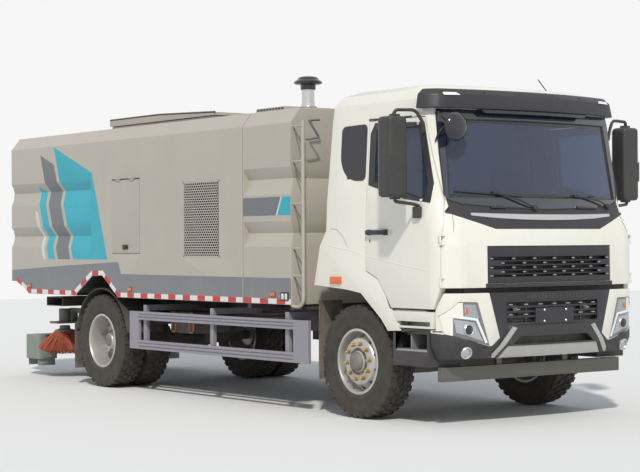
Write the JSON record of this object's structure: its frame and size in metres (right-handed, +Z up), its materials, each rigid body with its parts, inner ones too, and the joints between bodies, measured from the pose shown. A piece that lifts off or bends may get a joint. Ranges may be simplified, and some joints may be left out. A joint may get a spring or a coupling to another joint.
{
  "type": "street sweeper truck",
  "caption": "Cab-over street sweeper truck with a closed, grooved sweeper body, tipping hopper, disc brushes and rear suction nozzle.",
  "frame": {"origin": "on the ground, under the middle of the whole vehicle", "axes": "+X forwards, +Y to the vehicle's left, +Z up"},
  "size_m": [8.1075, 3.04, 3.1899],
  "materials": {
    "frame_black": "satin chassis paint, dusty",
    "axle_grey": "rough cast and painted steel",
    "engine_grey": "cast",
    "body_beige": "semi-gloss paint",
    "cab_ivory": "gloss paint",
    "black_plastic": "grained plastic",
    "lamp_clear": "clear lens over a bright reflector",
    "lamp_red": "red lens",
    "bright_bar": "dull bright metal",
    "step_black": "ribbed plastic with metal treads",
    "guard_grey": "satin grey paint",
    "tank_metal": "brushed",
    "pump_orange": "worn orange paint",
    "flap_rubber": "dusty rubber",
    "steel_bare": "satin",
    "glass": "tinted glass",
    "trim_dark": "woven seat cloth",
    "tyre": "dusty tread rubber",
    "rim_silver": "silver wheel paint",
    "bristle": "red-orange bristles",
    "nozzle_green": "worn grey-green paint",
    "cylinder_steel": "satin"
  },
  "bodies": {
    "chassis": {"chassis_frame": "frame_black", "front_axle": "axle_grey", "rear_axle": "axle_grey", "engine_block": "engine_grey", "auxiliary_engine": "engine_grey", "front_bumper": "black_plastic", "bumper_corners": "cab_ivory", "headlamps": "lamp_clear", "guard_bars": "bright_bar", "steps": "step_black", "side_guards": "guard_grey", "fuel_tank": "tank_metal", "pump_unit": "pump_orange", "rear_mudguards": "flap_rubber", "front_flaps": "flap_rubber", "front_compartment": "body_beige", "ladder": "body_beige", "intake_stack": "steel_bare"},
    "hopper": {"hopper_shell": "body_beige", "vent_panels": "body_beige", "rear_lamps": "lamp_red"},
    "roof_hatch": {"roof_hatch_lid": "body_beige"},
    "hatch_left": {"side_hatch_left": "body_beige"},
    "hatch_right": {"side_hatch_right": "body_beige"},
    "rear_door": {"rear_door": "body_beige"},
    "cab": {"cab_shell": "cab_ivory", "step_sills": "cab_ivory", "cab_glass": "glass", "grille": "black_plastic", "roof_visor": "black_plastic", "seats": "trim_dark", "dashboard": "black_plastic", "kerb_mirror": "black_plastic"},
    "door_left": {"door_left": "cab_ivory", "door_glass_left": "glass", "mirror_left": "black_plastic"},
    "door_right": {"door_right": "cab_ivory", "door_glass_right": "glass", "mirror_right": "black_plastic"},
    "knuckle_left": {"knuckle_left": "axle_grey"},
    "knuckle_right": {"knuckle_right": "axle_grey"},
    "front_wheel_left": {"tyre_front_left": "tyre", "rim_front_left": "rim_silver"},
    "front_wheel_right": {"tyre_front_right": "tyre", "rim_front_right": "rim_silver"},
    "rear_wheels_left": {"tyres_rear_left": "tyre", "rims_rear_left": "rim_silver"},
    "rear_wheels_right": {"tyres_rear_right": "tyre", "rims_rear_right": "rim_silver"},
    "brush_arm_left": {"brush_arm_left": "frame_black"},
    "brush_arm_right": {"brush_arm_right": "frame_black"},
    "brush_left": {"disc_brush_left": "bristle"},
    "brush_right": {"disc_brush_right": "bristle"},
    "nozzle": {"nozzle_box": "nozzle_green"},
    "tip_barrel": {"tip_barrel": "cylinder_steel"},
    "tip_rod": {"tip_rod": "steel_bare"}
  },
  "joints": [
    {"name": "steer_left", "type": "hinge", "parent": "chassis", "child": "knuckle_left", "pos_m": [2.7, 0.85, 0.512], "axis": [0, 0, 1], "range_deg": [-35, 35]},
    {"name": "front_wheel_left_spin", "type": "hinge", "parent": "knuckle_left", "child": "front_wheel_left", "pos_m": [2.7, 1.02, 0.512], "axis": [0, 1, 0], "continuous": true},
    {"name": "rear_wheels_left_spin", "type": "hinge", "parent": "chassis", "child": "rear_wheels_left", "pos_m": [-1.8, 1.095, 0.512], "axis": [0, 1, 0], "continuous": true},
    {"name": "door_left_hinge", "type": "hinge", "parent": "cab", "child": "door_left", "pos_m": [3.852, 1.15, 1.3], "axis": [0, 0, -1], "range_deg": [0, 70]},
    {"name": "side_hatch_left_hinge", "type": "hinge", "parent": "hopper", "child": "hatch_left", "pos_m": [-1.22, 1.262, 2.287], "axis": [1, 0, 0], "range_deg": [0, 100]},
    {"name": "brush_arm_left_lift", "type": "hinge", "parent": "chassis", "child": "brush_arm_left", "pos_m": [-2.7, 0.735, 0.79], "axis": [0, -1, 0], "range_deg": [0, 20]},
    {"name": "brush_left_spin", "type": "hinge", "parent": "brush_arm_left", "child": "brush_left", "pos_m": [-3.35, 0.85, 0.56], "axis": [0, 0, 1], "continuous": true},
    {"name": "steer_right", "type": "hinge", "parent": "chassis", "child": "knuckle_right", "pos_m": [2.7, -0.85, 0.512], "axis": [0, 0, 1], "range_deg": [-35, 35]},
    {"name": "front_wheel_right_spin", "type": "hinge", "parent": "knuckle_right", "child": "front_wheel_right", "pos_m": [2.7, -1.02, 0.512], "axis": [0, 1, 0], "continuous": true},
    {"name": "rear_wheels_right_spin", "type": "hinge", "parent": "chassis", "child": "rear_wheels_right", "pos_m": [-1.8, -1.095, 0.512], "axis": [0, 1, 0], "continuous": true},
    {"name": "door_right_hinge", "type": "hinge", "parent": "cab", "child": "door_right", "pos_m": [3.852, -1.15, 1.3], "axis": [0, 0, 1], "range_deg": [0, 70]},
    {"name": "side_hatch_right_hinge", "type": "hinge", "parent": "hopper", "child": "hatch_right", "pos_m": [-1.22, -1.262, 2.287], "axis": [-1, 0, 0], "range_deg": [0, 100]},
    {"name": "brush_arm_right_lift", "type": "hinge", "parent": "chassis", "child": "brush_arm_right", "pos_m": [-2.7, -0.735, 0.79], "axis": [0, -1, 0], "range_deg": [0, 20]},
    {"name": "brush_right_spin", "type": "hinge", "parent": "brush_arm_right", "child": "brush_right", "pos_m": [-3.35, -0.85, 0.56], "axis": [0, 0, 1], "continuous": true},
    {"name": "cab_tilt", "type": "hinge", "parent": "chassis", "child": "cab", "pos_m": [3.97, 0, 1], "axis": [0, 1, 0], "range_deg": [0, 50]},
    {"name": "hopper_tip", "type": "hinge", "parent": "chassis", "child": "hopper", "pos_m": [-3.25, 0, 0.93], "axis": [0, -1, 0], "range_deg": [0, 45]},
    {"name": "rear_door_hinge", "type": "hinge", "parent": "hopper", "child": "rear_door", "pos_m": [-3.952, 0, 2.72], "axis": [0, 1, 0], "range_deg": [0, 95]},
    {"name": "roof_hatch_hinge", "type": "hinge", "parent": "hopper", "child": "roof_hatch", "pos_m": [-0.236, 0, 2.936], "axis": [0, 1, 0], "range_deg": [0, 75]},
    {"name": "nozzle_lift", "type": "slide", "parent": "chassis", "child": "nozzle", "axis": [0, 0, 1], "range_m": [-0.11, 0]},
    {"name": "tip_barrel_swing", "type": "hinge", "parent": "chassis", "child": "tip_barrel", "pos_m": [-1.1, 0, 0.64], "axis": [0, -1, 0], "range_deg": [-30, 5]},
    {"name": "tip_rod_slide", "type": "slide", "parent": "tip_barrel", "child": "tip_rod", "axis": [-0.9666, 0, 0.2564], "range_m": [0, 0.64]}
  ],
  "couplings": [
    {"joint": "steer_right", "follows": "steer_left", "ratio": 1},
    {"joint": "tip_barrel_swing", "follows": "hopper_tip", "ratio": -0.4859},
    {"joint": "tip_rod_slide", "follows": "hopper_tip", "m_per_rad": 0.715}
  ]
}
